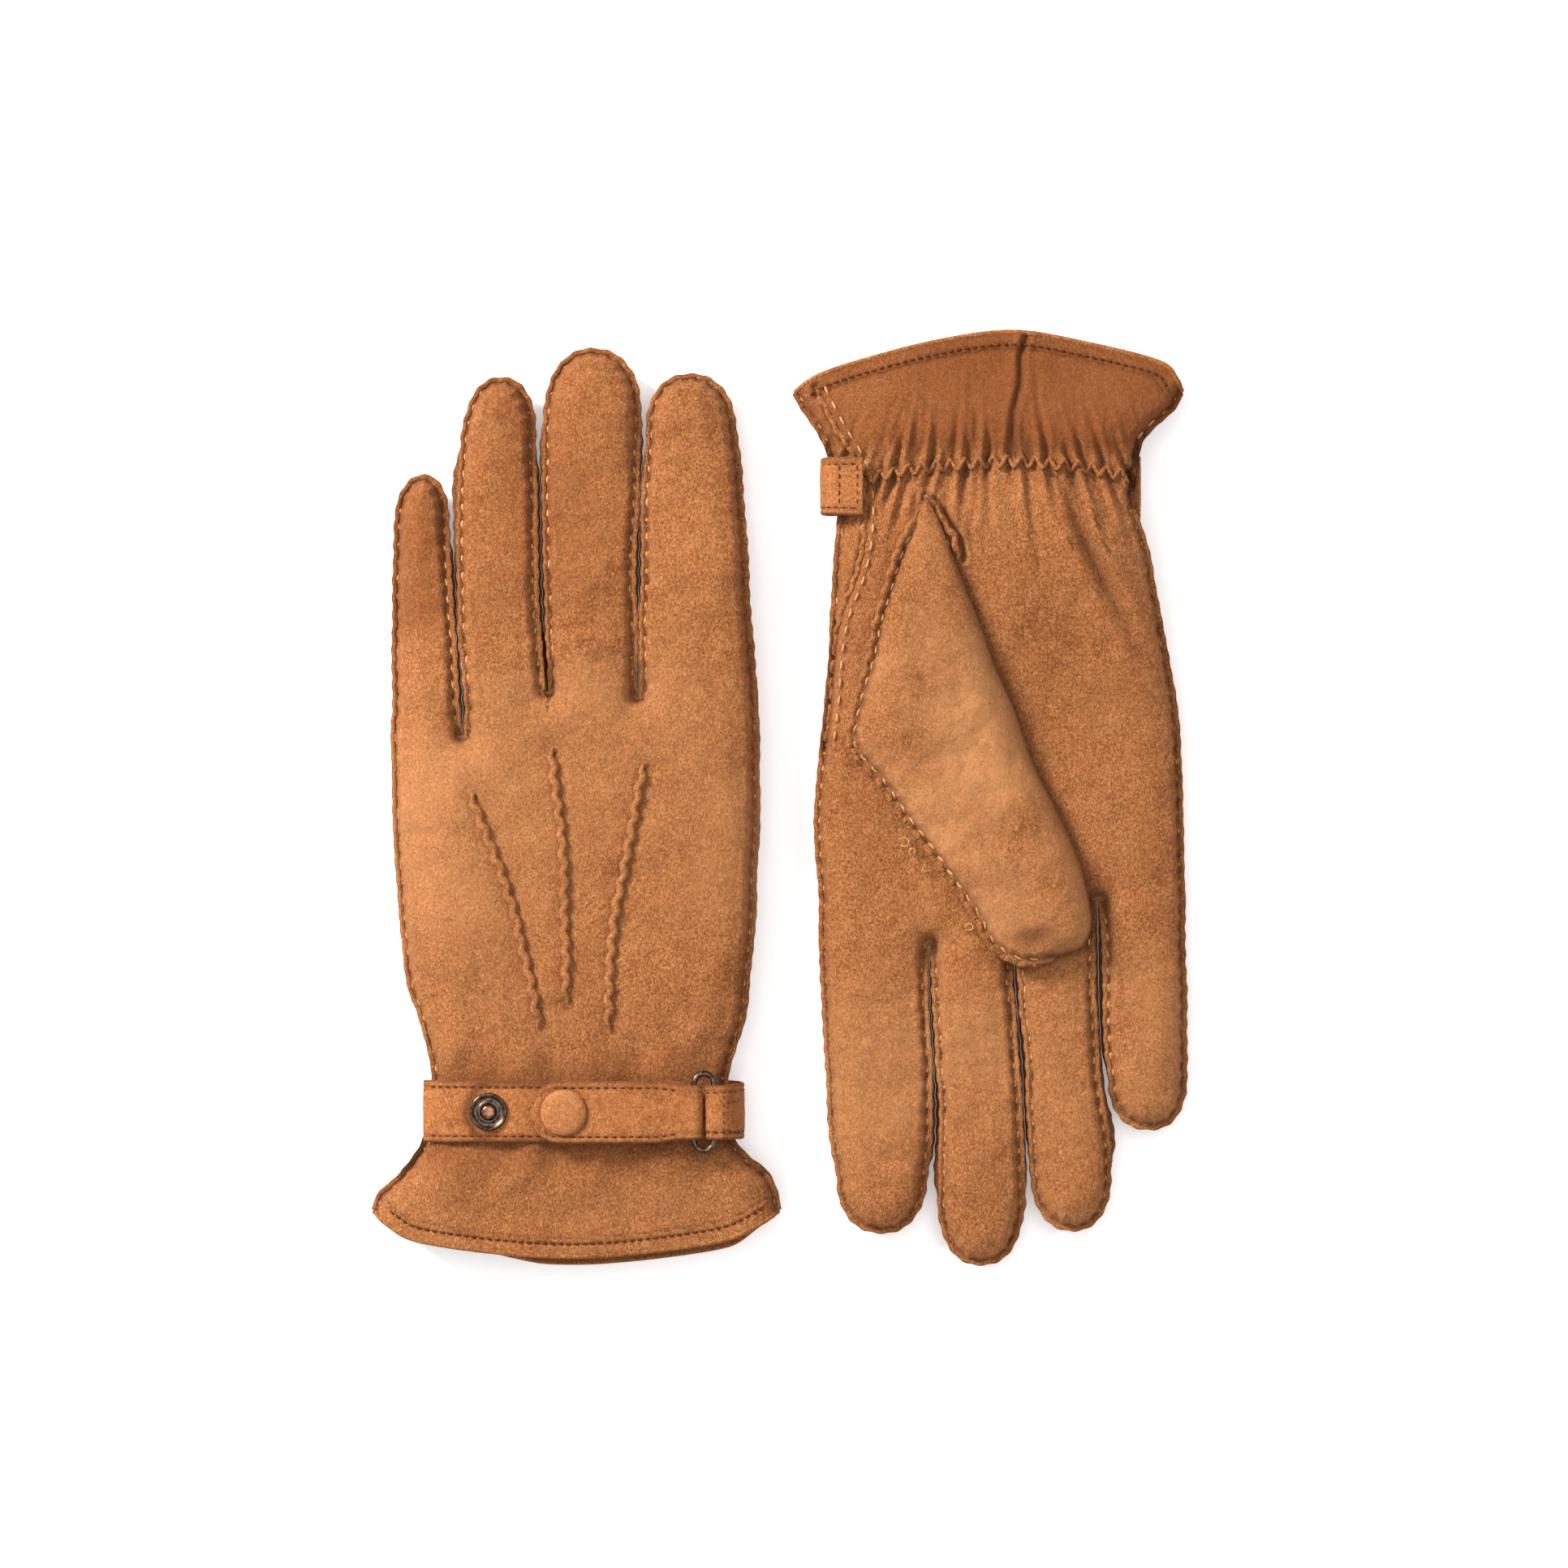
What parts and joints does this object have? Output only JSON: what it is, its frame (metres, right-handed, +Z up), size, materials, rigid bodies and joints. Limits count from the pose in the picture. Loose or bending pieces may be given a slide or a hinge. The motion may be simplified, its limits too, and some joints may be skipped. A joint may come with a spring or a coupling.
{
  "type": "pair of suede gloves",
  "caption": "Pair of suede driving gloves lying flat, one back up and one palm up, each with a snap strap through an oval ring at the wrist.",
  "frame": {"origin": "middle of the pair, on the table surface the gloves lie on", "axes": "+Y along the left glove's fingers, +X from the left glove to the right glove, +Z up from the table"},
  "size_m": [0.2376, 0.266, 0.0286],
  "materials": {
    "suede": "tan suede with a soft nap",
    "suede_inner": "inner face of the suede",
    "suede_fourchette": "thin suede",
    "suede_strap": "doubled suede",
    "elastic_webbing": "woven elastic",
    "ring_metal": "antique, satin",
    "snap_metal": "antique, satin"
  },
  "bodies": {
    "left_hand": {"left_back_panel": "suede", "left_palm_panel": "suede", "left_cuff_hem": "suede_inner", "left_wrist_elastic": "elastic_webbing", "left_strap": "suede_strap", "left_keeper_loop": "suede_strap", "left_snap_stud_outer": "snap_metal", "left_snap_stud_inner": "snap_metal"},
    "left_ring": {"left_strap_ring": "ring_metal"},
    "left_tab": {"left_strap_tab": "suede_strap", "left_snap_cap": "suede_strap", "left_snap_socket": "snap_metal"},
    "left_thumb": {"left_thumb_front": "suede", "left_thumb_rear": "suede_inner"},
    "left_pinky_finger": {"left_pinky_back": "suede", "left_pinky_palm": "suede", "left_pinky_fourchette_index_side": "suede_fourchette"},
    "left_ring_finger": {"left_ring_back": "suede", "left_ring_palm": "suede", "left_ring_fourchette_index_side": "suede_fourchette", "left_ring_fourchette_pinky_side": "suede_fourchette"},
    "left_middle_finger": {"left_middle_back": "suede", "left_middle_palm": "suede", "left_middle_fourchette_index_side": "suede_fourchette", "left_middle_fourchette_pinky_side": "suede_fourchette"},
    "left_index_finger": {"left_index_back": "suede", "left_index_palm": "suede", "left_index_fourchette_pinky_side": "suede_fourchette"},
    "right_hand": {"right_back_panel": "suede", "right_palm_panel": "suede", "right_cuff_hem": "suede_inner", "right_wrist_elastic": "elastic_webbing", "right_strap": "suede_strap", "right_keeper_loop": "suede_strap", "right_snap_stud_outer": "snap_metal", "right_snap_stud_inner": "snap_metal"},
    "right_ring": {"right_strap_ring": "ring_metal"},
    "right_tab": {"right_strap_tab": "suede_strap", "right_snap_cap": "suede_strap", "right_snap_socket": "snap_metal"},
    "right_thumb": {"right_thumb_front": "suede", "right_thumb_rear": "suede_inner"},
    "right_pinky_finger": {"right_pinky_back": "suede", "right_pinky_palm": "suede", "right_pinky_fourchette_index_side": "suede_fourchette"},
    "right_ring_finger": {"right_ring_back": "suede", "right_ring_palm": "suede", "right_ring_fourchette_index_side": "suede_fourchette", "right_ring_fourchette_pinky_side": "suede_fourchette"},
    "right_middle_finger": {"right_middle_back": "suede", "right_middle_palm": "suede", "right_middle_fourchette_index_side": "suede_fourchette", "right_middle_fourchette_pinky_side": "suede_fourchette"},
    "right_index_finger": {"right_index_back": "suede", "right_index_palm": "suede", "right_index_fourchette_pinky_side": "suede_fourchette"}
  },
  "joints": [
    {"name": "left_pinky_bend", "type": "hinge", "parent": "left_hand", "child": "left_pinky_finger", "pos_m": [-0.1042, 0.0337, 0.01824], "axis": [1, 0, 0], "range_deg": [0, 75]},
    {"name": "left_ring_bend", "type": "hinge", "parent": "left_hand", "child": "left_ring_finger", "pos_m": [-0.0804, 0.0507, 0.01935], "axis": [1, 0, 0], "range_deg": [0, 75]},
    {"name": "left_middle_bend", "type": "hinge", "parent": "left_hand", "child": "left_middle_finger", "pos_m": [-0.0548, 0.0507, 0.01935], "axis": [1, 0, 0], "range_deg": [0, 75]},
    {"name": "left_index_bend", "type": "hinge", "parent": "left_hand", "child": "left_index_finger", "pos_m": [-0.0254, 0.0507, 0.01935], "axis": [1, 0, 0], "range_deg": [0, 75]},
    {"name": "left_thumb_swing", "type": "hinge", "parent": "left_hand", "child": "left_thumb", "pos_m": [-0.0408, -0.0703, 0], "axis": [0, 0, -1], "range_deg": [0, 24]},
    {"name": "left_ring_swing", "type": "hinge", "parent": "left_hand", "child": "left_ring", "pos_m": [-0.0198, -0.0903, 0.0221], "axis": [0, 1, 0], "range_deg": [0, 20]},
    {"name": "left_tab_lift", "type": "hinge", "parent": "left_ring", "child": "left_tab", "pos_m": [-0.0254, -0.0903, 0.0221], "axis": [0, 1, 0], "range_deg": [0, 115]},
    {"name": "right_pinky_bend", "type": "hinge", "parent": "right_hand", "child": "right_pinky_finger", "pos_m": [0.1042, -0.0337, 0.01445], "axis": [-1, 0, 0], "range_deg": [0, 75]},
    {"name": "right_ring_bend", "type": "hinge", "parent": "right_hand", "child": "right_ring_finger", "pos_m": [0.0804, -0.0507, 0.01445], "axis": [-1, 0, 0], "range_deg": [0, 75]},
    {"name": "right_middle_bend", "type": "hinge", "parent": "right_hand", "child": "right_middle_finger", "pos_m": [0.0548, -0.0507, 0.01445], "axis": [-1, 0, 0], "range_deg": [0, 75]},
    {"name": "right_index_bend", "type": "hinge", "parent": "right_hand", "child": "right_index_finger", "pos_m": [0.0254, -0.0507, 0.01445], "axis": [-1, 0, 0], "range_deg": [0, 75]},
    {"name": "right_thumb_fold", "type": "hinge", "parent": "right_hand", "child": "right_thumb", "pos_m": [0.0373, 0.0723, 0.02211], "axis": [-0.3137, -0.9495, 0], "range_deg": [0, 100]},
    {"name": "right_ring_swing", "type": "hinge", "parent": "right_hand", "child": "right_ring", "pos_m": [0.0198, 0.0903, 0.0051], "axis": [0, 1, 0], "range_deg": [0, 20]},
    {"name": "right_tab_lift", "type": "hinge", "parent": "right_ring", "child": "right_tab", "pos_m": [0.0254, 0.0903, 0.0051], "axis": [0, 1, 0], "range_deg": [0, 115]},
    {"name": "right_glove_lift", "type": "slide", "parent": "left_hand", "child": "right_hand", "axis": [0, 0, 1], "range_m": [0, 0.04]}
  ]
}
